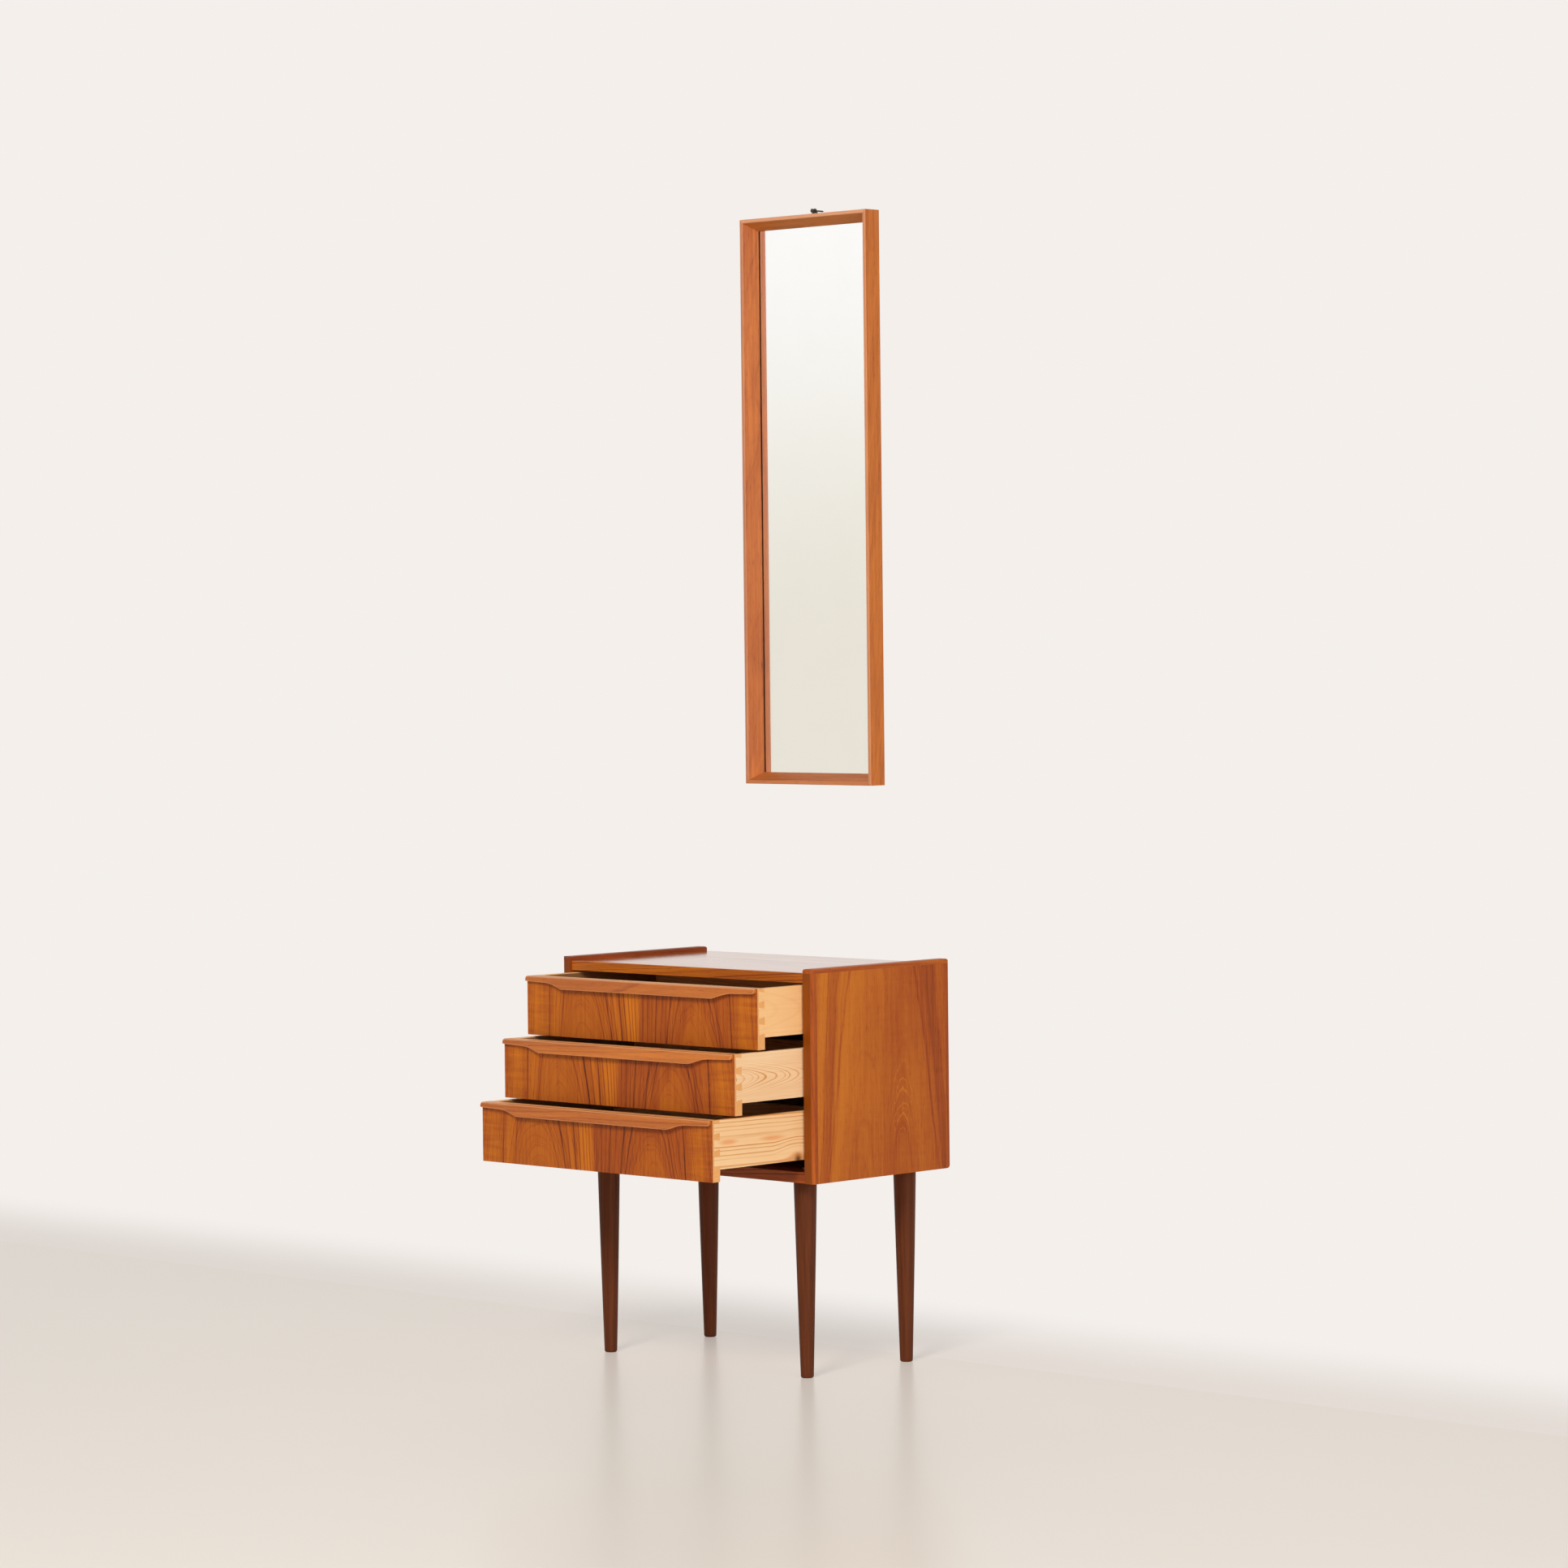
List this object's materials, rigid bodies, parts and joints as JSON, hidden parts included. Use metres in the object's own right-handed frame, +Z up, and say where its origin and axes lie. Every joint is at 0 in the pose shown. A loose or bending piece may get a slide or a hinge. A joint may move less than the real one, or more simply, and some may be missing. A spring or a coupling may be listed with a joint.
{
  "type": "hall chest with mirror",
  "caption": "Small veneered hall chest with dovetailed drawers and lip pulls on turned tapered legs, with a separate splayed-frame wall mirror that hangs above it on a nail.",
  "frame": {"origin": "on the floor, under the middle of the object's box with the drawers as shown", "axes": "+X to the right along the drawer fronts, +Y from the front towards the wall, +Z up"},
  "size_m": [0.522, 0.5145, 1.7256],
  "materials": {
    "veneered_board": "teak veneer, oiled satin",
    "solid_teak": "solid teak, oiled satin",
    "dark_wood": "dark stained turned wood, satin",
    "pine": "planed pine",
    "plywood": "thin plywood sheet",
    "silvered_glass": "silvered float glass",
    "steel": "plain steel fixings",
    "blackened_steel": "blackened steel"
  },
  "bodies": {
    "chest": {"back_panel": "plywood", "base_edge_strip": "solid_teak", "base_panel": "veneered_board", "leg_back_left": "dark_wood", "leg_back_right": "dark_wood", "leg_front_left": "dark_wood", "leg_front_right": "dark_wood", "leg_nuts": "steel", "leg_studs": "steel", "runner_bottom_left": "pine", "runner_bottom_right": "pine", "runner_middle_left": "pine", "runner_middle_right": "pine", "runner_top_left": "pine", "runner_top_right": "pine", "side_back_lipping_left": "solid_teak", "side_back_lipping_right": "solid_teak", "side_front_lipping_left": "solid_teak", "side_front_lipping_right": "solid_teak", "side_panel_left": "veneered_board", "side_panel_right": "veneered_board", "side_top_lipping_left": "solid_teak", "side_top_lipping_right": "solid_teak", "top_edge_strip": "solid_teak", "top_panel": "veneered_board", "wall_nail": "blackened_steel"},
    "drawer_top": {"drawer_top_back": "pine", "drawer_top_bottom": "plywood", "drawer_top_facing": "veneered_board", "drawer_top_front": "pine", "drawer_top_lip": "solid_teak", "drawer_top_side_left": "pine", "drawer_top_side_right": "pine"},
    "drawer_middle": {"drawer_middle_back": "pine", "drawer_middle_bottom": "plywood", "drawer_middle_facing": "veneered_board", "drawer_middle_front": "pine", "drawer_middle_lip": "solid_teak", "drawer_middle_side_left": "pine", "drawer_middle_side_right": "pine"},
    "drawer_bottom": {"drawer_bottom_back": "pine", "drawer_bottom_bottom": "plywood", "drawer_bottom_facing": "veneered_board", "drawer_bottom_front": "pine", "drawer_bottom_lip": "solid_teak", "drawer_bottom_side_left": "pine", "drawer_bottom_side_right": "pine"},
    "mirror": {"mirror_backing": "plywood", "mirror_backing_tacks": "steel", "mirror_glass": "silvered_glass", "mirror_hanger": "blackened_steel", "mirror_hanger_screws": "steel", "mirror_rail_bottom": "solid_teak", "mirror_rail_left": "solid_teak", "mirror_rail_right": "solid_teak", "mirror_rail_top": "solid_teak"}
  },
  "joints": [
    {"name": "drawer_top_slide", "type": "slide", "parent": "chest", "child": "drawer_top", "axis": [0, -1, 0], "range_m": [-0.092, 0.118]},
    {"name": "drawer_middle_slide", "type": "slide", "parent": "chest", "child": "drawer_middle", "axis": [0, -1, 0], "range_m": [-0.14, 0.07]},
    {"name": "drawer_bottom_slide", "type": "slide", "parent": "chest", "child": "drawer_bottom", "axis": [0, -1, 0], "range_m": [-0.186, 0.024]},
    {"name": "mirror_swing", "type": "hinge", "parent": "chest", "child": "mirror", "pos_m": [0, 0.2355, 1.722], "axis": [0, 1, 0], "range_deg": [-15, 15]}
  ]
}
